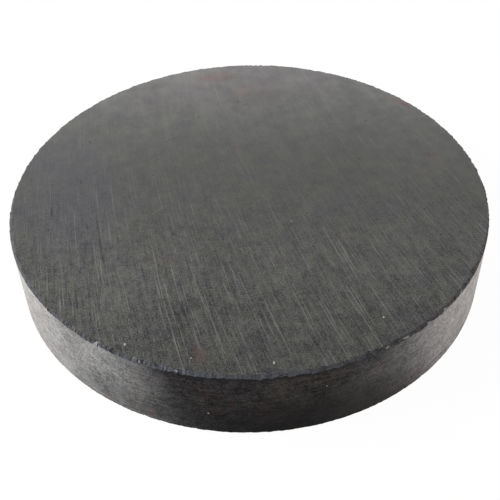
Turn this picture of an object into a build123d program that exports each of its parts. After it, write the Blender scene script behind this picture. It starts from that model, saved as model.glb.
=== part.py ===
from build123d import *
from math import cos, radians, sin, sqrt
import os

# Sintered ferrite disc magnet, one solid piece.
#
# The disc is pressed, fired and then ground: flat on both pole faces and round on its outside wall.
# Grinding leaves a narrow break on both rims, and the brittle rims carry small shell-shaped chips.
# Units are millimetres. +Z is the disc's axis, and the origin is the centre of the lower pole face.

# The disc
DIAMETER = 38.1
THICKNESS = 6.35
EDGE_BREAK = 0.15  # leg of the 45 degree break on both rims

# Chips round each rim: angle from +X in degrees, length along the rim, depth below the break
TOP_CHIPS = [
    (-147.0, 0.55, 0.07),
    (-138.5, 0.80, 0.11),
    (-132.3, 0.60, 0.10),
    (-123.9, 0.65, 0.09),
    (-119.5, 0.75, 0.14),
    (-109.7, 0.50, 0.10),
    (-104.9, 0.45, 0.07),
    (-66.0, 0.70, 0.14),
    (-64.0, 0.45, 0.10),
    (-59.3, 0.70, 0.10),
    (-36.2, 0.60, 0.09),
    (-31.2, 0.95, 0.13),
    (69.6, 0.90, 0.12),
    (153.2, 0.70, 0.10),
    (179.4, 0.60, 0.10),
]
BOTTOM_CHIPS = [(-114.0, 0.55, 0.08)]

radius = DIAMETER / 2


def ground_disc():
    """The whole disc, with its section turned about the axis."""
    section = Polyline(
        (0, 0),
        (radius - EDGE_BREAK, 0),
        (radius, EDGE_BREAK),
        (radius, THICKNESS - EDGE_BREAK),
        (radius - EDGE_BREAK, THICKNESS),
        (0, THICKNESS),
        close=True,
    )
    return revolve(Plane.XZ * make_face(section), Axis.Z)


def chip_scoop(angle, length, depth, top):
    """A ball that leaves one chip, centred outside the disc on the line square to the break."""
    ball_radius = (length**2 / 4 + depth**2) / (2 * depth)
    break_middle = EDGE_BREAK / 2
    offset = (ball_radius - depth) / sqrt(2)
    reach = radius - break_middle + offset
    rise = offset - break_middle
    height = THICKNESS + rise if top else -rise
    centre = (reach * cos(radians(angle)), reach * sin(radians(angle)), height)
    return Pos(*centre) * Sphere(ball_radius)


disc = ground_disc()
for chip in TOP_CHIPS:
    disc -= chip_scoop(*chip, top=True)
for chip in BOTTOM_CHIPS:
    disc -= chip_scoop(*chip, top=False)
disc.label = "ferrite_disc"

os.makedirs("parts", exist_ok=True)
export_step(disc, "parts/ferrite_disc.step")
print("volume", round(disc.volume, 2), "mm3, size", disc.bounding_box().size)
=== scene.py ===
import math

import bpy
from mathutils import Matrix, Vector


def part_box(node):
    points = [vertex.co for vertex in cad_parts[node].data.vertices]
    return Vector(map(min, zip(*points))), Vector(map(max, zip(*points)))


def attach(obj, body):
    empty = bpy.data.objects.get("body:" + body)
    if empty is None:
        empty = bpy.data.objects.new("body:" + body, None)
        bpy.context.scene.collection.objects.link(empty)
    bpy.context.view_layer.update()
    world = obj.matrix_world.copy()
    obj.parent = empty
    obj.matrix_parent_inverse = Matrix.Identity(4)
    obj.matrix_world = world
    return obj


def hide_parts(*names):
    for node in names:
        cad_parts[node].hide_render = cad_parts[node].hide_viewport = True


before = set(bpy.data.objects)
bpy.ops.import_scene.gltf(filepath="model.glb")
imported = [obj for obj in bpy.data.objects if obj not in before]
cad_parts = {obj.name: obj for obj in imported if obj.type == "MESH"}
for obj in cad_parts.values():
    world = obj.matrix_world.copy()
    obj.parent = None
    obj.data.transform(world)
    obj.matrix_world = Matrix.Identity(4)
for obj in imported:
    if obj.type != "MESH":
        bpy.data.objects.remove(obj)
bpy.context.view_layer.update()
mm = 0.001

# ---------------------------------------------------------------------------------------------
# THE FERRITE DISC
# One piece of hard ferrite, pressed from powder, fired, and ground flat on both pole faces and
# round on the outside. Grinding leaves a narrow break on each rim, and the brittle rim chips.

low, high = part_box("ferrite_disc")
disc_radius = (high[0] - low[0]) / 2
disc_thickness = high[2] - low[2]
edge_break = 0.15 * mm

# The chips one can pick out on the upper rim: angle from +X, length along the rim, depth
upper_rim_chips = [
    (-147.0, 0.55, 0.07),
    (-138.5, 0.80, 0.11),
    (-132.3, 0.60, 0.10),
    (-123.9, 0.65, 0.09),
    (-119.5, 0.75, 0.14),
    (-109.7, 0.50, 0.10),
    (-104.9, 0.45, 0.07),
    (-66.0, 0.70, 0.14),
    (-64.0, 0.45, 0.10),
    (-59.3, 0.70, 0.10),
    (-36.2, 0.60, 0.09),
    (-31.2, 0.95, 0.13),
    (69.6, 0.90, 0.12),
    (153.2, 0.70, 0.10),
    (179.4, 0.60, 0.10),
]
lower_rim_chips = [(-114.0, 0.55, 0.08)]


def chip_ball(angle, length, depth, side):
    """Centre and radius of the ball whose cap is one chip; side is 1 on the upper rim, -1 below."""
    ball = (length**2 / 4 + depth**2) / (2 * depth) * mm
    offset = (ball - depth * mm) / math.sqrt(2)
    reach = disc_radius - edge_break / 2 + offset
    rise = disc_thickness / 2 - edge_break / 2 + offset
    turn = math.radians(angle)
    return (reach * math.cos(turn), reach * math.sin(turn), disc_thickness / 2 + side * rise), ball


def node(tree, kind, inputs=None, out=0, **settings):
    """Add one node, set it, fill its inputs with values or with other nodes' outputs, and give one."""
    made = tree.nodes.new(kind)
    for name, value in settings.items():
        setattr(made, name, value)
    for place, value in (inputs or {}).items():
        if isinstance(value, bpy.types.NodeSocket):
            tree.links.new(value, made.inputs[place])
        else:
            made.inputs[place].default_value = value
    return made.outputs[out]


def maths(tree, operation, *values):
    return node(tree, "ShaderNodeMath", dict(enumerate(values)), operation=operation)


def vector(tree, x, y, z):
    return node(tree, "ShaderNodeCombineXYZ", {0: x, 1: y, 2: z})


def part_of(tree, place, axis):
    return node(tree, "ShaderNodeSeparateXYZ", {0: place}, axis)


def random_between(tree, least, most, seed):
    """A number for each point, even between two sizes."""
    inputs = {2: least, 3: most, "Seed": seed}
    return node(tree, "FunctionNodeRandomValue", inputs, 1, data_type="FLOAT")


def random_turn(tree, seed):
    """A turn for each point, any way round."""
    whole = (2 * math.pi,) * 3
    inputs = {0: (0, 0, 0), 1: whole, "Seed": seed}
    angles = node(tree, "FunctionNodeRandomValue", inputs, 0, data_type="FLOAT_VECTOR")
    return node(tree, "FunctionNodeEulerToRotation", {0: angles})


def rough_ball(tree, fineness, roughness):
    """A ball of radius 1 with a lumpy skin: what it cuts away leaves a shell-shaped break."""
    ball = node(tree, "GeometryNodeMeshIcoSphere", {"Radius": 1.0, "Subdivisions": fineness})
    lumps = node(tree, "ShaderNodeTexNoise", {"Scale": 3.4, "Detail": 4.0, "Roughness": 0.7})
    push = maths(tree, "MULTIPLY", maths(tree, "SUBTRACT", lumps, 0.5), roughness)
    normal = node(tree, "GeometryNodeInputNormal")
    along = node(tree, "ShaderNodeVectorMath", {0: normal, "Scale": push}, operation="SCALE")
    ball = node(tree, "GeometryNodeSetPosition", {"Geometry": ball, "Offset": along})
    return store_flag(tree, ball, "broken", True)


def store_flag(tree, geometry, name, value):
    """Mark every face of a shape, so that its material can be told later."""
    inputs = {"Geometry": geometry, "Name": name, "Value": value}
    return node(tree, "GeometryNodeStoreNamedAttribute", inputs, data_type="BOOLEAN", domain="FACE")


disc_tree = bpy.data.node_groups.new("ground_disc", "GeometryNodeTree")
disc_inputs = {
    "Radius": ("NodeSocketFloat", disc_radius),
    "Thickness": ("NodeSocketFloat", disc_thickness),
    "Edge Break": ("NodeSocketFloat", edge_break),
    "Edge Wander": ("NodeSocketFloat", 0.48 * mm),
    "Sides": ("NodeSocketInt", 960),
    "Small Chips": ("NodeSocketInt", 640),
    "Shortest Chip": ("NodeSocketFloat", 0.10 * mm),
    "Longest Chip": ("NodeSocketFloat", 0.62 * mm),
    "Face Pits": ("NodeSocketInt", 90),
    "Wall Pits": ("NodeSocketInt", 70),
    "Smallest Pit": ("NodeSocketFloat", 0.045 * mm),
    "Largest Pit": ("NodeSocketFloat", 0.11 * mm),
    "Seed": ("NodeSocketInt", 7),
}
disc_tree.interface.new_socket("Marked Chips", in_out="INPUT", socket_type="NodeSocketGeometry")
for name, (kind, value) in disc_inputs.items():
    disc_tree.interface.new_socket(name, in_out="INPUT", socket_type=kind)
for name in ("Ground Face", "Outer Wall", "Rim Break", "Broken Ferrite"):
    disc_tree.interface.new_socket(name, in_out="INPUT", socket_type="NodeSocketMaterial")
disc_tree.interface.new_socket("Disc", in_out="OUTPUT", socket_type="NodeSocketGeometry")
given = disc_tree.nodes.new("NodeGroupInput").outputs


def ground_blank(tree):
    """The disc before it chips: pole faces, wall, and a break on each rim that wanders a little."""
    inner = maths(tree, "SUBTRACT", given["Radius"], given["Edge Break"])
    upper_arris = maths(tree, "SUBTRACT", given["Thickness"], given["Edge Break"])
    wall_height = maths(tree, "SUBTRACT", upper_arris, given["Edge Break"])
    bands = [
        (inner, given["Radius"], given["Edge Break"], 0.0),
        (given["Radius"], given["Radius"], wall_height, given["Edge Break"]),
        (given["Radius"], inner, given["Edge Break"], upper_arris),
    ]
    join = tree.nodes.new("GeometryNodeJoinGeometry")
    for lower_radius, upper_radius, height, lift in bands:
        sizes = {"Vertices": given["Sides"], "Radius Bottom": lower_radius, "Radius Top": upper_radius}
        sizes["Depth"] = height
        band = node(tree, "GeometryNodeMeshCone", sizes, fill_type="NONE")
        moved = {"Geometry": band, "Translation": vector(tree, 0.0, 0.0, lift)}
        tree.links.new(node(tree, "GeometryNodeTransform", moved), join.inputs[0])
    ring = {"Vertices": given["Sides"], "Radius": inner}
    face = node(tree, "GeometryNodeMeshCircle", ring, fill_type="NGON")
    top = {"Geometry": face}
    top["Translation"] = vector(tree, 0.0, 0.0, given["Thickness"])
    tree.links.new(node(tree, "GeometryNodeTransform", top), join.inputs[0])
    tree.links.new(node(tree, "GeometryNodeFlipFaces", {"Mesh": face}), join.inputs[0])
    loose = {"Geometry": join.outputs[0], "Distance": 0.001 * mm}
    blank = node(tree, "GeometryNodeMergeByDistance", loose)

    place = node(tree, "GeometryNodeInputPosition")
    flat = node(tree, "ShaderNodeVectorMath", {0: place, 1: (1, 1, 0)}, operation="MULTIPLY")
    outward = node(tree, "ShaderNodeVectorMath", {0: flat}, operation="NORMALIZE")
    reach = node(tree, "ShaderNodeVectorMath", {0: flat}, 1, operation="LENGTH")
    halfway = maths(tree, "MULTIPLY_ADD", given["Edge Break"], -0.5, given["Radius"])
    on_face = maths(tree, "LESS_THAN", reach, halfway)
    uneven = node(tree, "ShaderNodeTexNoise", {"Scale": 2600.0, "Detail": 4.0, "Roughness": 0.75})
    half = maths(tree, "MULTIPLY", given["Thickness"], 0.5)
    above = maths(tree, "GREATER_THAN", part_of(tree, place, 2), half)
    wander = maths(tree, "MULTIPLY", given["Edge Wander"], maths(tree, "MULTIPLY_ADD", above, 0.7, 0.3))
    bite = maths(tree, "MULTIPLY", maths(tree, "SUBTRACT", uneven, 0.42), wander)
    shift = {0: outward, "Scale": maths(tree, "MULTIPLY", bite, -1.0)}
    shift = node(tree, "ShaderNodeVectorMath", shift, operation="SCALE")
    moved = {"Geometry": blank, "Selection": on_face, "Offset": shift}
    blank = node(tree, "GeometryNodeSetPosition", moved)
    inwards = maths(tree, "MULTIPLY_ADD", above, -2.0, 1.0)
    deeper = maths(tree, "MAXIMUM", maths(tree, "MULTIPLY", bite, 1.8), -0.05 * mm)
    shift = vector(tree, 0.0, 0.0, maths(tree, "MULTIPLY", inwards, deeper))
    on_wall = maths(tree, "GREATER_THAN", reach, halfway)
    moved = {"Geometry": blank, "Selection": on_wall, "Offset": shift}
    return store_flag(tree, node(tree, "GeometryNodeSetPosition", moved), "broken", False)


# A small chip is 0.15 of its length deep, which sets its ball's radius and how far out it sits
ball_per_length = 0.908
seat_per_length = 0.758


def rim_chip_balls(tree, ball):
    """Small balls all round both rims, each with its middle outside, so that it takes off a little."""
    seed = given["Seed"]
    pick = random_between(tree, 0.0, 1.0, seed)
    skewed = maths(tree, "POWER", pick, 2.5)
    span = {0: skewed, 3: given["Shortest Chip"], 4: given["Longest Chip"]}
    length = node(tree, "ShaderNodeMapRange", span)
    angle = random_between(tree, 0.0, 2 * math.pi, maths(tree, "ADD", seed, 1))
    side = maths(tree, "SIGN", random_between(tree, -1.0, 1.0, maths(tree, "ADD", seed, 2)))
    slip = random_between(tree, -0.4, 0.4, maths(tree, "ADD", seed, 3))
    slip = maths(tree, "MULTIPLY", slip, given["Edge Break"])
    to_break = maths(tree, "MULTIPLY", given["Edge Break"], -0.5)
    offset = maths(tree, "MULTIPLY_ADD", length, seat_per_length / math.sqrt(2), to_break)
    reach = maths(tree, "ADD", maths(tree, "ADD", given["Radius"], offset), slip)
    half = maths(tree, "MULTIPLY", given["Thickness"], 0.5)
    rise = maths(tree, "SUBTRACT", maths(tree, "ADD", half, offset), slip)
    height = maths(tree, "MULTIPLY_ADD", side, rise, half)
    place = vector(
        tree,
        maths(tree, "MULTIPLY", reach, maths(tree, "COSINE", angle)),
        maths(tree, "MULTIPLY", reach, maths(tree, "SINE", angle)),
        height,
    )
    points = node(tree, "GeometryNodePoints", {"Count": given["Small Chips"], "Position": place})
    size = maths(tree, "MULTIPLY", length, ball_per_length)
    turn = random_turn(tree, seed)
    inputs = {"Points": points, "Instance": ball, "Scale": size, "Rotation": turn}
    return node(tree, "GeometryNodeInstanceOnPoints", inputs)


def pit_balls(tree, ball, on_wall):
    """Small balls bedded in the wall or in the two pole faces: each leaves an open pore."""
    seed = maths(tree, "ADD", given["Seed"], 20 if on_wall else 40)
    size = random_between(tree, given["Smallest Pit"], given["Largest Pit"], seed)
    angle = random_between(tree, 0.0, 2 * math.pi, maths(tree, "ADD", seed, 1))
    proud = maths(tree, "MULTIPLY", size, 0.6)
    spread = random_between(tree, 0.0, 1.0, maths(tree, "ADD", seed, 2))
    if on_wall:
        reach = maths(tree, "ADD", given["Radius"], proud)
        height = maths(tree, "MULTIPLY", spread, given["Thickness"])
    else:
        reach = maths(tree, "MULTIPLY", maths(tree, "SQRT", spread), given["Radius"])
        side = maths(tree, "SIGN", random_between(tree, -1.0, 1.0, maths(tree, "ADD", seed, 3)))
        half = maths(tree, "MULTIPLY", given["Thickness"], 0.5)
        height = maths(tree, "MULTIPLY_ADD", side, maths(tree, "ADD", half, proud), half)
    place = vector(
        tree,
        maths(tree, "MULTIPLY", reach, maths(tree, "COSINE", angle)),
        maths(tree, "MULTIPLY", reach, maths(tree, "SINE", angle)),
        height,
    )
    count = given["Wall Pits" if on_wall else "Face Pits"]
    points = node(tree, "GeometryNodePoints", {"Count": count, "Position": place})
    turn = random_turn(tree, seed)
    inputs = {"Points": points, "Instance": ball, "Scale": size, "Rotation": turn}
    return node(tree, "GeometryNodeInstanceOnPoints", inputs)


blank = ground_blank(disc_tree)
large_ball = rough_ball(disc_tree, 5, 0.45)
small_ball = rough_ball(disc_tree, 2, 0.7)
ball_size = node(disc_tree, "GeometryNodeInputNamedAttribute", {"Name": "ball"}, data_type="FLOAT")
marked = {"Points": given["Marked Chips"], "Instance": large_ball, "Scale": ball_size}
marked["Rotation"] = random_turn(disc_tree, given["Seed"])
cutters = [
    node(disc_tree, "GeometryNodeInstanceOnPoints", marked),
    rim_chip_balls(disc_tree, small_ball),
    pit_balls(disc_tree, small_ball, on_wall=True),
    pit_balls(disc_tree, small_ball, on_wall=False),
]
chipping = disc_tree.nodes.new("GeometryNodeMeshBoolean")
chipping.operation = "DIFFERENCE"
chipping.solver = "MANIFOLD"
disc_tree.links.new(blank, chipping.inputs["Mesh 1"])
for cutter in cutters:
    disc_tree.links.new(cutter, chipping.inputs["Mesh 2"])
chipped = node(disc_tree, "GeometryNodeRealizeInstances", {0: chipping.outputs[0]})


def finished(tree, chipped):
    """Smooth the round surfaces, keep the arrises crisp, and give each surface its material."""
    round_skin = {"Geometry": chipped, "Shade Smooth": True}
    smooth = node(tree, "GeometryNodeSetShadeSmooth", round_skin, domain="FACE")
    bend = node(tree, "GeometryNodeInputMeshEdgeAngle")
    arris = maths(tree, "GREATER_THAN", bend, math.radians(16))
    crisp = {"Geometry": smooth, "Selection": arris, "Shade Smooth": False}
    crisp = node(tree, "GeometryNodeSetShadeSmooth", crisp, domain="EDGE")
    normal = node(tree, "GeometryNodeInputNormal")
    upright = maths(tree, "ABSOLUTE", node(tree, "ShaderNodeSeparateXYZ", {0: normal}, 2))
    broken = node(tree, "GeometryNodeInputNamedAttribute", {"Name": "broken"}, data_type="BOOLEAN")
    level = maths(tree, "GREATER_THAN", upright, 0.95)
    above_wall = maths(tree, "GREATER_THAN", upright, 0.3)
    sloping = maths(tree, "MULTIPLY", above_wall, maths(tree, "LESS_THAN", upright, 0.95))
    inputs = {"Geometry": crisp, "Material": given["Outer Wall"]}
    dressed = node(tree, "GeometryNodeSetMaterial", inputs)
    kinds = ((level, "Ground Face"), (sloping, "Rim Break"), (broken, "Broken Ferrite"))
    for where, material in kinds:
        inputs = {"Geometry": dressed, "Selection": where, "Material": given[material]}
        dressed = node(tree, "GeometryNodeSetMaterial", inputs)
    return dressed


dressed = finished(disc_tree, chipped)
disc_tree.links.new(dressed, disc_tree.nodes.new("NodeGroupOutput").inputs[0])

# --- Ferrite, as the grinding wheel leaves it -------------------------------------------------
# Dark grey ceramic with a faint olive cast. Every surface has the fired grain and open pores, and
# where rust from the grinding bench has dried on, a dull red-brown stain.

ferrite_olive = (0.0590, 0.0615, 0.0550, 1)
ferrite_violet = (0.0525, 0.0535, 0.0580, 1)
rust_brown = (0.085, 0.048, 0.042, 1)
pore_black = (0.014, 0.014, 0.014, 1)
bare_grain = (0.36, 0.36, 0.32, 1)


def new_group(name, inputs, outputs):
    """A shader node group with its named sockets, and the outputs of its input node."""
    group = bpy.data.node_groups.new(name, "ShaderNodeTree")
    for label, value in inputs.items():
        kind = "NodeSocketFloat" if isinstance(value, float) else "NodeSocketVector"
        socket = group.interface.new_socket(label, in_out="INPUT", socket_type=kind)
        socket.default_value = value
    for label in outputs:
        group.interface.new_socket(label, in_out="OUTPUT", socket_type="NodeSocketFloat")
    return group, group.nodes.new("NodeGroupInput").outputs, group.nodes.new("NodeGroupOutput").inputs


def noise(tree, where, scale, detail=2.0, roughness=0.5, distortion=0.0):
    inputs = {"Vector": where, "Scale": scale, "Detail": detail, "Roughness": roughness}
    inputs["Distortion"] = distortion
    return node(tree, "ShaderNodeTexNoise", inputs)


def ramp(tree, value, low, high, to_low=0.0, to_high=1.0, smooth=True):
    """Carry a value from one range to another, and stop it at both ends."""
    kind = "SMOOTHSTEP" if smooth else "LINEAR"
    inputs = {0: value, 1: low, 2: high, 3: to_low, 4: to_high}
    return node(tree, "ShaderNodeMapRange", inputs, interpolation_type=kind)


def object_place(tree):
    return node(tree, "ShaderNodeTexCoord", out=3)


def stretched(tree, where, scale):
    return node(tree, "ShaderNodeVectorMath", {0: where, 1: scale}, operation="MULTIPLY")


def grain_group():
    """Fired grain: a fine mottle, patches a millimetre or two wide, and broad clouds."""
    group, _, gives = new_group("ferrite_grain", {}, ["Fine", "Blotches", "Patches", "Clouds"])
    where = object_place(group)
    mottles = (("Fine", 9000.0), ("Blotches", 2600.0), ("Patches", 900.0), ("Clouds", 150.0))
    for name, scale in mottles:
        mottle = noise(group, where, scale, 3.0, 0.6)
        group.links.new(ramp(group, mottle, 0.3, 0.7, smooth=False), gives[name])
    return group


def pore_group():
    """Open pores and bright grains: small dots here and there, one to a cell."""
    inputs = {"Spacing": 1.0, "Share": 0.3, "Size": 0.1}
    group, given, gives = new_group("ferrite_pores", inputs, ["Dots"])
    where = object_place(group)
    per_metre = maths(group, "DIVIDE", 1000.0, given["Spacing"])
    cells = group.nodes.new("ShaderNodeTexVoronoi")
    group.links.new(where, cells.inputs["Vector"])
    group.links.new(per_metre, cells.inputs["Scale"])
    chance = node(group, "ShaderNodeSeparateXYZ", {0: cells.outputs["Color"]}, 0)
    chosen = maths(group, "LESS_THAN", chance, given["Share"])
    reach = maths(group, "DIVIDE", given["Size"], given["Spacing"])
    dot = node(group, "ShaderNodeMapRange", {0: cells.outputs["Distance"], 1: reach, 2: 0.0})
    group.links.new(maths(group, "MULTIPLY", dot, chosen), gives["Dots"])
    return group


def stain_group():
    """Dried rust: patches with a ragged edge, about one place in ten."""
    group, given, gives = new_group("rust_stain", {"Share": 0.1}, ["Stain"])
    where = object_place(group)
    patches = noise(group, where, 230.0, 4.0, 0.6, 0.6)
    edge = maths(group, "SUBTRACT", 0.72, given["Share"])
    inputs = {0: patches, 1: edge, 2: maths(group, "ADD", edge, 0.1)}
    group.links.new(node(group, "ShaderNodeMapRange", inputs), gives["Stain"])
    return group


def grinding_group():
    """The wheel's marks on a pole face: close, slightly bowed lines that fan out to the front."""
    group, _, gives = new_group("grinding_lines", {}, ["Lines", "Bands", "Scores", "Cuts"])
    heading = math.radians(14.5)
    bow = 1 / (2 * 208 * mm)
    fan = 1 / (156 * mm)
    turned = node(group, "ShaderNodeMapping", {0: object_place(group), "Rotation": (0, 0, -heading)})
    along = maths(group, "MULTIPLY", part_of(group, turned, 1), -1.0)
    sagitta = maths(group, "MULTIPLY", maths(group, "MULTIPLY", along, along), -bow)
    bowed = maths(group, "ADD", sagitta, part_of(group, turned, 0))
    fanned = maths(group, "DIVIDE", bowed, maths(group, "MULTIPLY_ADD", along, fan, 1.0))
    track = vector(group, fanned, along, part_of(group, turned, 2))
    lines = noise(group, stretched(group, track, (9500, 500, 900)), 1.0, 3.0, 0.6)
    bands = noise(group, stretched(group, track, (1300, 90, 900)), 1.0, 3.0, 0.6)
    scores = noise(group, stretched(group, track, (9000, 170, 900)), 1.0, 2.0, 0.5)
    cuts = noise(group, stretched(group, track, (5100, 190, -900)), 1.0, 2.0, 0.5)
    group.links.new(ramp(group, lines, 0.3, 0.7, smooth=False), gives["Lines"])
    group.links.new(ramp(group, bands, 0.3, 0.7, smooth=False), gives["Bands"])
    group.links.new(ramp(group, scores, 0.61, 0.71), gives["Scores"])
    group.links.new(ramp(group, cuts, 0.64, 0.76), gives["Cuts"])
    return group


def turning_group():
    """The marks of the outside grinding: fine level lines right round the wall."""
    group, _, gives = new_group("wall_lines", {}, ["Lines", "Scores"])
    where = object_place(group)
    lines = noise(group, stretched(group, where, (420, 420, 8000)), 1.0, 3.0, 0.6)
    scores = noise(group, stretched(group, where, (330, 330, 7500)), 1.0, 1.0, 0.5)
    group.links.new(ramp(group, lines, 0.3, 0.7, smooth=False), gives["Lines"])
    group.links.new(ramp(group, scores, 0.66, 0.76), gives["Scores"])
    return group


def mark_group():
    """One mark put where it belongs: a ragged patch or a thin streak round its middle."""
    inputs = {"Centre": (0.0, 0.0, 0.0), "Half Size": (1.0, 1.0, 1.0), "Turn": 0.0, "Ragged": 0.6}
    group, given, gives = new_group("placed_mark", inputs, ["Mark"])
    where = object_place(group)
    away = node(group, "ShaderNodeVectorMath", {0: where, 1: given["Centre"]}, operation="SUBTRACT")
    inputs = {"Vector": away, "Angle": given["Turn"]}
    level = node(group, "ShaderNodeVectorRotate", inputs, rotation_type="Z_AXIS")
    share = node(group, "ShaderNodeVectorMath", {0: level, 1: given["Half Size"]}, operation="DIVIDE")
    reach = node(group, "ShaderNodeVectorMath", {0: share}, 1, operation="LENGTH")
    tooth = maths(group, "SUBTRACT", noise(group, where, 4200.0, 3.0, 0.7), 0.5)
    edge = maths(group, "MULTIPLY_ADD", tooth, maths(group, "MULTIPLY", given["Ragged"], 3.0), reach)
    group.links.new(ramp(group, edge, 1.15, 0.45), gives["Mark"])
    return group


grain = grain_group()
pores = pore_group()
stains = stain_group()
grinding = grinding_group()
turning = turning_group()
mark = mark_group()


def placed(tree, group, values=None):
    """Put a shader group into a material, and give its outputs."""
    made = tree.nodes.new("ShaderNodeGroup")
    made.node_tree = group
    for name, value in (values or {}).items():
        made.inputs[name].default_value = value
    return made.outputs


def face_spot(x, y, half_width, half_length, ragged=0.6):
    """A mark on the upper pole face, in millimetres, lying along the grinding."""
    centre = (x * mm, y * mm, disc_thickness)
    half_size = (half_width * mm, half_length * mm, 1 * mm)
    return {"Centre": centre, "Half Size": half_size, "Turn": -math.radians(12), "Ragged": ragged}


def face_streak(x, y, to_x, to_y, half_width, ragged=0.45):
    """A straight scratch on the upper pole face, from one place to another."""
    centre = ((x + to_x) / 2 * mm, (y + to_y) / 2 * mm, disc_thickness)
    half_size = (half_width * mm, math.dist((x, y), (to_x, to_y)) / 2 * mm, 1 * mm)
    turn = -math.atan2(x - to_x, to_y - y)
    return {"Centre": centre, "Half Size": half_size, "Turn": turn, "Ragged": ragged}


def wall_spot(angle, height, half_length, half_height, ragged=0.6):
    """A mark on the outside wall, at an angle from +X and a height."""
    turn = math.radians(angle)
    centre = (disc_radius * math.cos(turn), disc_radius * math.sin(turn), height * mm)
    half_size = (half_length * mm, half_length * mm, half_height * mm)
    return {"Centre": centre, "Half Size": half_size, "Turn": 0.0, "Ragged": ragged}


def joined(tree, marks):
    """One mask for all the placed marks of a kind."""
    mask = 0.0
    for values in marks:
        mask = maths(tree, "MAXIMUM", placed(tree, mark, values)["Mark"], mask)
    return mask


def tinted(tree, colour, mask, strength, other):
    """Lay another colour over a colour where a mask says so."""
    factor = maths(tree, "MULTIPLY", mask, strength)
    inputs = {0: factor, 6: colour, 7: other}
    return node(tree, "ShaderNodeMix", inputs, 2, data_type="RGBA")


def scaled_colour(tree, colour, factor):
    return node(tree, "ShaderNodeVectorMath", {0: colour, "Scale": factor}, operation="SCALE")


def ferrite(name, level, gloss, coat, coat_range, rise=1.0, coat_index=3.0):
    """A ferrite surface: a matt body under the sheen that dark ground ceramic takes on at a slant."""
    material = bpy.data.materials.new(name)
    material.use_nodes = True
    tree = material.node_tree
    body = tree.nodes["Principled BSDF"]
    body.inputs["Specular IOR Level"].default_value = level
    body.inputs["Coat Roughness"].default_value = gloss
    body.inputs["Coat IOR"].default_value = coat_index
    facing = node(tree, "ShaderNodeLayerWeight", {"Blend": 0.5}, 1)
    slant = ramp(tree, facing, coat_range[0], coat_range[1], smooth=False)
    sheen = maths(tree, "MULTIPLY", maths(tree, "POWER", slant, rise), coat)
    return material, tree, body, sheen


def bumped(tree, body, height, depth):
    inputs = {"Strength": 1.0, "Distance": depth, "Height": height}
    bump = node(tree, "ShaderNodeBump", inputs)
    tree.links.new(bump, body.inputs["Normal"])


def weighed(tree, parts):
    """A shade near 1: each part, which runs from 0 to 1, moves it up or down by its share."""
    shade = 1.0
    for value, share in parts:
        shade = maths(tree, "ADD", maths(tree, "MULTIPLY_ADD", value, share, -share / 2), shade)
    return maths(tree, "MAXIMUM", shade, 0.1)


def faded(tree, shade, keen):
    """Bring a shade nearer to 1 where the surface is less marked."""
    return maths(tree, "MULTIPLY_ADD", maths(tree, "SUBTRACT", shade, 1.0), keen, 1.0)


# Single marks on the upper pole face, where they lie
light_scratches = [
    face_streak(-11.8, -6.5, -10.9, -10.4, 0.03),
    face_streak(-6.4, -9.8, -5.2, -14.4, 0.03),
    face_streak(-1.2, -8.6, 0.2, -13.2, 0.03),
    face_streak(5.2, -8.8, 6.6, -13.4, 0.03),
    face_streak(9.4, -8.2, 10.6, -12.4, 0.03),
    face_streak(-9.3, -9.9, -8.4, -13.6, 0.04),
    face_streak(-3.6, -11.2, -1.5, -18.2, 0.045),
    face_streak(-3.1, -11.4, -1.0, -17.6, 0.035),
    face_streak(0.5, -10.9, 2.8, -17.9, 0.04),
    face_streak(2.7, -10.4, 4.5, -16.3, 0.04),
    face_streak(3.1, -10.8, 4.7, -15.9, 0.03),
    face_streak(6.9, -10.4, 8.5, -15.1, 0.04),
]
dark_scratches = [
    face_streak(-12.3, -1.5, -10.5, -9.7, 0.09),
    face_streak(-11.6, -5.1, -10.8, -8.3, 0.09),
    face_streak(7.3, -10.6, 8.7, -14.6, 0.10),
    face_streak(-5.3, -11.6, -4.2, -14.6, 0.14, 0.4),
    face_spot(-13.7, 1.5, 0.14, 0.20),
    face_spot(-15.6, -2.1, 0.13, 0.60, 1.0),
    face_spot(-5.8, -5.1, 0.25, 0.35),
]
white_flecks = [
    face_spot(-8.6, -16.0, 0.06, 0.13),
    face_spot(-4.1, -17.3, 0.05, 0.08),
    face_spot(1.4, -17.9, 0.06, 0.12),
    face_spot(9.1, -14.1, 0.07, 0.09),
]
face_rust = [
    face_spot(-3.6, -17.0, 0.65, 1.10, 1.0),
    face_spot(-2.9, 16.7, 1.00, 0.50, 1.0),
    face_spot(15.9, 2.6, 0.30, 0.25),
    face_spot(15.5, 4.0, 0.25, 0.30),
]
rim_rust = [
    face_streak(13.2, 12.7, 15.0, 10.9, 0.40, 0.4),
    face_spot(-2.9, 16.9, 1.8, 0.9, 1.0),
]

# Broad, faint changes of cast: warm along the back, cool on the left
back_warm_cast = [face_spot(-1.0, 15.5, 11.0, 3.5, 1.2)]
blue_haze = [face_spot(-14.5, 0.0, 4.5, 9.0, 0.8)]


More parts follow.
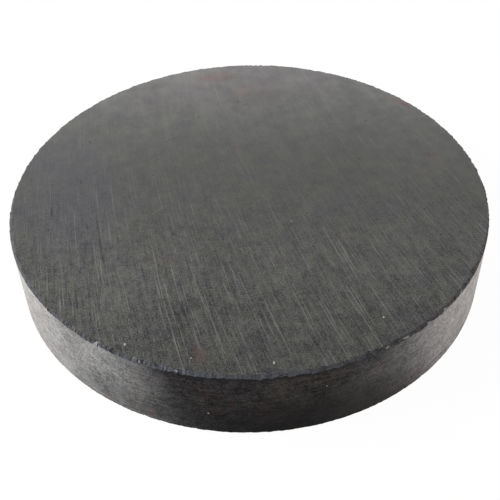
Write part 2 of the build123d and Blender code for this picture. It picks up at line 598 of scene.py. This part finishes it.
def ground_face():
    material, tree, body, sheen = ferrite("ground_ferrite", 0.15, 0.42, 0.311, (0.335, 0.48), 2.9)
    marks = placed(tree, grinding)
    mottle = placed(tree, grain)
    dots = placed(tree, pores, {"Spacing": 0.9, "Share": 0.30, "Size": 0.14})["Dots"]
    flecks = placed(tree, pores, {"Spacing": 3.1, "Share": 0.06, "Size": 0.15})["Dots"]
    rust = placed(tree, stains, {"Share": 0.06})["Stain"]
    left_to_right = part_of(tree, object_place(tree), 0)
    front_to_back = part_of(tree, object_place(tree), 1)
    keen = ramp(tree, front_to_back, -16 * mm, 5 * mm, 1.0, 0.21)
    # painted shade and light: the face darker towards the front edge and lighter towards the left
    depth = ramp(tree, front_to_back, -19 * mm, -7 * mm, 0.74, 1.0)
    across = ramp(tree, left_to_right, -17 * mm, 9 * mm, 1.16, 0.94)
    depth = maths(tree, "MULTIPLY", depth, across)
    parts = [(mottle["Fine"], 1.40), (marks["Lines"], 0.70), (mottle["Blotches"], 0.60)]
    parts += [(mottle["Patches"], 0.30), (mottle["Clouds"], 0.30), (marks["Bands"], 0.24)]
    shade = maths(tree, "MULTIPLY_ADD", marks["Scores"], 1.1, weighed(tree, parts))
    shade = maths(tree, "MULTIPLY", shade, maths(tree, "MULTIPLY_ADD", marks["Cuts"], -0.4, 1.0))
    shade = maths(tree, "MULTIPLY", faded(tree, shade, keen), depth)
    cast = tinted(tree, ferrite_violet, mottle["Patches"], 1.0, ferrite_olive)
    cast = tinted(tree, cast, joined(tree, back_warm_cast), 0.5, (0.0600, 0.0540, 0.0570, 1))
    cast = tinted(tree, cast, joined(tree, blue_haze), 0.6, (0.0535, 0.0545, 0.0620, 1))
    colour = scaled_colour(tree, cast, shade)
    colour = tinted(tree, colour, rust, 0.35, rust_brown)
    colour = tinted(tree, colour, joined(tree, face_rust), 0.28, rust_brown)
    colour = tinted(tree, colour, joined(tree, rim_rust), 0.5, (0.07, 0.022, 0.020, 1))
    colour = tinted(tree, colour, dots, 0.7, pore_black)
    colour = tinted(tree, colour, joined(tree, dark_scratches), 0.5, pore_black)
    colour = tinted(tree, colour, joined(tree, light_scratches), 0.48, (0.16, 0.165, 0.135, 1))
    flecked = maths(tree, "MAXIMUM", flecks, joined(tree, white_flecks))
    colour = tinted(tree, colour, flecked, 0.9, bare_grain)
    tree.links.new(colour, body.inputs["Base Color"])
    body.inputs["Roughness"].default_value = 0.5
    smears = [(mottle["Patches"], 0.35), (mottle["Clouds"], 0.40), (marks["Bands"], 0.25)]
    sheen = maths(tree, "MULTIPLY", sheen, weighed(tree, smears))
    glossier_left = ramp(tree, left_to_right, -15 * mm, 2 * mm, 1.35, 1.0)
    sheen = maths(tree, "MULTIPLY", sheen, glossier_left)
    tree.links.new(sheen, body.inputs["Coat Weight"])
    relief = maths(tree, "MULTIPLY_ADD", mottle["Fine"], 0.5, marks["Lines"])
    bumped(tree, body, relief, 0.008 * mm)
    return material


# Single marks on the wall
wall_rust = [
    wall_spot(-52.0, 1.20, 1.60, 0.70, 1.0),
    wall_spot(-42.0, 4.60, 1.30, 0.60, 1.0),
    wall_spot(-34.0, 2.40, 1.20, 0.80, 1.0),
    wall_spot(-148.0, 3.40, 1.30, 0.70, 1.0),
    wall_spot(-123.1, 0.65, 0.50, 0.30),
    wall_spot(-112.5, 1.10, 0.45, 0.22),
    wall_spot(-59.4, 5.75, 0.45, 0.16),
    wall_spot(-62.7, 4.40, 0.40, 0.22),
    wall_spot(-59.3, 1.40, 0.50, 0.25),
]
# Broad changes on the wall: a painted sheen that makes both flanks a paler colour, and stretches more
# or less worn
painted_sheen_flanks = [
    wall_spot(-20.0, 3.20, 10.5, 40.0, 0.15),
    wall_spot(-157.0, 3.20, 8.0, 40.0, 0.15),
]
dull_stretch = [wall_spot(-74.0, 3.20, 7.5, 40.0, 0.10)]
# painted shade: the foot of the front wall painted darker, with less coat
painted_shade_foot = [wall_spot(-72.0, 0.00, 10.0, 4.2, 0.10)]
bright_stretch = [wall_spot(-115.0, 5.00, 4.8, 3.0, 0.25)]
wall_flecks = [
    wall_spot(-120.2, 3.90, 0.30, 0.04, 0.2),
    wall_spot(-121.4, 4.15, 0.24, 0.04, 0.2),
    wall_spot(-99.4, 2.20, 0.06, 0.06),
    wall_spot(-75.0, 4.40, 0.05, 0.05),
]
wall_pits = [wall_spot(-118.7, 3.85, 0.12, 0.10)]


def outer_wall():
    material, tree, body, sheen = ferrite(
        "wall_ferrite", 0.05, 0.35, 1.0, (0.44, 0.73), coat_index=3.7
    )
    marks = placed(tree, turning)
    mottle = placed(tree, grain)
    dots = placed(tree, pores, {"Spacing": 0.7, "Share": 0.40, "Size": 0.13})["Dots"]
    flecks = placed(tree, pores, {"Spacing": 2.3, "Share": 0.06, "Size": 0.13})["Dots"]
    rust = placed(tree, stains, {"Share": 0.14})["Stain"]
    height = part_of(tree, object_place(tree), 2)
    parts = [(mottle["Fine"], 1.3), (marks["Lines"], 0.7), (mottle["Blotches"], 0.65)]
    parts += [(mottle["Patches"], 0.55), (mottle["Clouds"], 0.45)]
    shade = weighed(tree, [(value, share * 2.0) for value, share in parts])
    # painted shade: the wall's colour darker towards the foot, lighter towards the top
    upwards = ramp(tree, height, 0.0, disc_thickness, 0.6, 1.2, smooth=False)
    shade = maths(tree, "MULTIPLY", shade, upwards)
    cool_wall = (0.0125, 0.0120, 0.0150, 1)
    warm_wall = (0.0165, 0.0148, 0.0135, 1)
    cast = tinted(tree, cool_wall, mottle["Clouds"], 1.0, warm_wall)
    colour = scaled_colour(tree, cast, shade)
    sheen_parts = [(value, share * 0.72) for value, share in parts]
    # painted sheen: both flanks of the wall painted a paler colour
    flank_sheen_colour = scaled_colour(tree, (0.066, 0.052, 0.047), weighed(tree, sheen_parts))
    colour = tinted(tree, colour, joined(tree, painted_sheen_flanks), 0.75, flank_sheen_colour)
    colour = tinted(tree, colour, rust, 0.5, (0.045, 0.020, 0.017, 1))
    colour = tinted(tree, colour, joined(tree, wall_rust), 0.7, (0.062, 0.032, 0.030, 1))
    # painted shade: the foot of the wall painted near black
    colour = tinted(tree, colour, joined(tree, painted_shade_foot), 0.65, (0.0050, 0.0042, 0.0046, 1))
    pitted = maths(tree, "MAXIMUM", dots, joined(tree, wall_pits))
    colour = tinted(tree, colour, pitted, 0.7, (0.006, 0.006, 0.006, 1))
    flecked = maths(tree, "MAXIMUM", flecks, joined(tree, wall_flecks))
    colour = tinted(tree, colour, flecked, 0.9, bare_grain)
    # painted shade: a dark line just under the upper rim
    wander = maths(tree, "MULTIPLY_ADD", mottle["Blotches"], 0.25 * mm, height)
    line = ramp(tree, wander, disc_thickness - 0.40 * mm, disc_thickness - 0.20 * mm)
    colour = tinted(tree, colour, line, 0.75, (0.005, 0.005, 0.008, 1))
    tree.links.new(colour, body.inputs["Base Color"])
    body.inputs["Roughness"].default_value = 0.45
    clear = maths(tree, "MULTIPLY_ADD", pitted, -0.5, 1.0)
    wear = maths(tree, "MULTIPLY", weighed(tree, sheen_parts), clear)
    wear = maths(tree, "MULTIPLY_ADD", marks["Scores"], 0.35, wear)
    dull = maths(tree, "MULTIPLY_ADD", joined(tree, dull_stretch), -0.50, 0.99)
    upwards = ramp(tree, height, 0.0, disc_thickness, 0.85, 1.12, smooth=False)
    dull = maths(tree, "MULTIPLY", dull, upwards)
    foot = maths(tree, "MULTIPLY_ADD", joined(tree, painted_shade_foot), -0.55, 1.0)
    dull = maths(tree, "MULTIPLY", dull, foot)
    bright = maths(tree, "MULTIPLY_ADD", joined(tree, bright_stretch), 0.75, 1.0)
    wear = maths(tree, "MULTIPLY", wear, maths(tree, "MULTIPLY", dull, bright))
    tree.links.new(maths(tree, "MULTIPLY", sheen, wear), body.inputs["Coat Weight"])
    relief = maths(tree, "MULTIPLY_ADD", mottle["Fine"], 0.6, marks["Lines"])
    bumped(tree, body, relief, 0.010 * mm)
    return material


# Painted glints: spots on the fresh breaks painted pale where they catch the light; and a painted
# highlight on the stretch of rim in front, painted paler
painted_glints_on_breaks = [
    wall_spot(-124.0, 6.24, 0.20, 0.16, 0.8),
    wall_spot(-122.9, 6.16, 0.12, 0.06, 0.5),
    wall_spot(-113.4, 6.24, 0.12, 0.08, 0.5),
    wall_spot(-105.5, 6.24, 0.20, 0.07, 0.5),
    wall_spot(-61.5, 6.22, 0.22, 0.07, 0.5),
    wall_spot(-56.8, 6.22, 0.30, 0.07, 0.5),
    wall_spot(-50.0, 6.20, 0.26, 0.07, 0.5),
    wall_spot(-44.5, 6.20, 0.22, 0.07, 0.5),
    wall_spot(-38.0, 6.20, 0.22, 0.08, 0.5),
]
front_highlight_stretch = [wall_spot(-93.0, 6.30, 10.5, 4.0, 0.10)]


def rim_break():
    material, tree, body, sheen = ferrite("rim_ferrite", 0.15, 0.4, 0.03, (0.4, 0.8))
    mottle = placed(tree, grain)
    shade = weighed(tree, [(mottle["Fine"], 1.2), (mottle["Blotches"], 0.6)])
    height = part_of(tree, object_place(tree), 2)
    # painted shade: the break darker towards the bottom, where it faces the floor
    shade = maths(tree, "MULTIPLY", shade, ramp(tree, height, 0.0, disc_thickness, 0.35, 1.0))
    plain_break = (0.030, 0.031, 0.038, 1)
    painted_highlight_break = (0.048, 0.052, 0.062, 1)
    # painted highlight: the front stretch of the rim break painted paler and bluer
    colour = tinted(tree, plain_break, joined(tree, front_highlight_stretch), 1.0, painted_highlight_break)
    colour = scaled_colour(tree, colour, shade)
    # painted glints on the rim break
    colour = tinted(tree, colour, joined(tree, painted_glints_on_breaks), 0.8, (0.24, 0.24, 0.26, 1))
    tree.links.new(colour, body.inputs["Base Color"])
    tree.links.new(sheen, body.inputs["Coat Weight"])
    body.inputs["Roughness"].default_value = 0.4
    bumped(tree, body, mottle["Fine"], 0.02 * mm)
    return material


def broken_ferrite():
    material, tree, body, sheen = ferrite("broken_ferrite", 0.25, 0.3, 0.05, (0.35, 0.7))
    mottle = placed(tree, grain)
    shade = weighed(tree, [(mottle["Fine"], 1.9), (mottle["Blotches"], 0.9)])
    colour = scaled_colour(tree, (0.026, 0.026, 0.030), shade)
    # painted glints on the broken faces
    colour = tinted(tree, colour, joined(tree, painted_glints_on_breaks), 0.9, (0.34, 0.34, 0.36, 1))
    tree.links.new(colour, body.inputs["Base Color"])
    tree.links.new(sheen, body.inputs["Coat Weight"])
    body.inputs["Roughness"].default_value = 0.4
    bumped(tree, body, mottle["Fine"], 0.02 * mm)
    return material


surfaces = {
    "Ground Face": ground_face(),
    "Outer Wall": outer_wall(),
    "Rim Break": rim_break(),
    "Broken Ferrite": broken_ferrite(),
}

chips = [chip_ball(*chip, 1) for chip in upper_rim_chips]
chips += [chip_ball(*chip, -1) for chip in lower_rim_chips]
marks = bpy.data.meshes.new("marked_chips")
marks.from_pydata([centre for centre, ball in chips], [], [])
radii = marks.attributes.new("ball", "FLOAT", "POINT")
radii.data.foreach_set("value", [ball for centre, ball in chips])
maker = bpy.data.objects.new("disc_maker", marks)
bpy.context.scene.collection.objects.link(maker)
shaping = maker.modifiers.new("ground_disc", "NODES")
shaping.node_group = disc_tree
interface = disc_tree.interface.items_tree
sockets = {item.name: item.identifier for item in interface if item.in_out == "INPUT"}
for name, (kind, value) in disc_inputs.items():
    shaping[sockets[name]] = value
for name, material in surfaces.items():
    shaping[sockets[name]] = material

graph = bpy.context.evaluated_depsgraph_get()
disc_mesh = bpy.data.meshes.new_from_object(maker.evaluated_get(graph))
disc_mesh.name = "ferrite_disc_shape"
bpy.data.objects.remove(maker)
magnet = bpy.data.objects.new("ground_ferrite_disc", disc_mesh)
bpy.context.scene.collection.objects.link(magnet)
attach(magnet, "root")
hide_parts("ferrite_disc")

# ---------------------------------------------------------------------------------------------
# THE FLOOR
# A plain pale studio floor. It reads as white, and keeps a soft trace of the disc's shadow.

floor_mesh = bpy.data.meshes.new("floor")
side = 1.5
floor_z = -0.01 * mm
corners = [(-side, -side), (side, -side), (side, side), (-side, side)]
floor_mesh.from_pydata([(x, y, floor_z) for x, y in corners], [], [(0, 1, 2, 3)])
floor = bpy.data.objects.new("floor", floor_mesh)
bpy.context.scene.collection.objects.link(floor)


def seen_share(tree, mirror_share):
    """1 for the rays that look straight at the background, and part of it for those that mirror it."""
    rays = tree.nodes.new("ShaderNodeLightPath").outputs
    mirrored = maths(tree, "MAXIMUM", rays["Is Glossy Ray"], rays["Is Transmission Ray"])
    mirrored = maths(tree, "MULTIPLY", mirrored, mirror_share)
    return maths(tree, "MAXIMUM", rays["Is Camera Ray"], mirrored)


paper = bpy.data.materials.new("white_paper")
paper.use_nodes = True
tree = paper.node_tree
body = tree.nodes["Principled BSDF"]
body.inputs["Base Color"].default_value = (0.85, 0.85, 0.85, 1)
body.inputs["Roughness"].default_value = 0.9
body.inputs["Specular IOR Level"].default_value = 0.0
white = node(tree, "ShaderNodeEmission", {"Color": (1, 1, 1, 1), "Strength": 1.0})
glow = maths(tree, "MULTIPLY", seen_share(tree, 0.30), 0.97)
mix = node(tree, "ShaderNodeMixShader", {0: glow, 1: body.outputs[0], 2: white})
tree.links.new(mix, tree.nodes["Material Output"].inputs[0])
floor_mesh.materials.append(paper)

# ---------------------------------------------------------------------------------------------
# THE LIGHT
# Soft studio light: a strong panel on the left, a weaker one on the right, one behind, and a
# small one high in front. The pale room round them gives the rest.

world = bpy.data.worlds.new("studio")
bpy.context.scene.world = world
world.use_nodes = True
tree = world.node_tree
level = ramp(tree, seen_share(tree, 0.55), 0.0, 1.0, 0.40, 1.0, smooth=False)
tree.nodes["Background"].inputs["Color"].default_value = (1, 1, 1, 1)
tree.links.new(level, tree.nodes["Background"].inputs["Strength"])


def panel(name, place, size, power, colour=(1, 1, 1)):
    """A square soft panel that faces the disc."""
    light = bpy.data.lights.new(name, "AREA")
    light.shape = "SQUARE"
    light.size = size
    light.energy = power
    light.color = colour
    lamp = bpy.data.objects.new(name, light)
    lamp.location = place
    lamp.rotation_euler = (-Vector(place)).to_track_quat("-Z", "Y").to_euler()
    bpy.context.scene.collection.objects.link(lamp)


panel("left_panel", (-0.42, 0.02, 0.20), 0.34, 4.0, (1, 0.99, 0.96))
panel("right_panel", (0.42, 0.04, 0.20), 0.34, 1.1, (1, 0.82, 0.72))
panel("back_panel", (0.05, 0.45, 0.34), 0.34, 0.5, (1, 0.965, 0.975))
panel("front_panel", (0.0, -0.33, 0.42), 0.12, 0.25, (0.9, 0.95, 1))

# ---------------------------------------------------------------------------------------------
# THE CAMERA
# A close-up from in front, a little under halfway up to straight overhead.

camera_height = math.radians(39.54)
camera_distance = 70.3 * mm
aim_ahead = 7.05 * mm
camera_roll = math.radians(-1.376)
eye_back = camera_distance * math.cos(camera_height)
eye_rise = camera_distance * math.sin(camera_height)
eye = Vector((0, -eye_back, disc_thickness + eye_rise))
aim = Vector((0, -aim_ahead, disc_thickness))
lens = bpy.data.cameras.new("camera")
lens.lens = 62.48
lens.sensor_width = 36.0
lens.clip_start = 1 * mm
camera = bpy.data.objects.new("camera", lens)
look = (aim - eye).to_track_quat("-Z", "Y").to_matrix().to_4x4()
roll = Matrix.Rotation(camera_roll, 4, "Z")
camera.matrix_world = Matrix.Translation(eye) @ look @ roll
bpy.context.scene.collection.objects.link(camera)
bpy.context.scene.camera = camera
bpy.context.scene.view_settings.view_transform = "Standard"
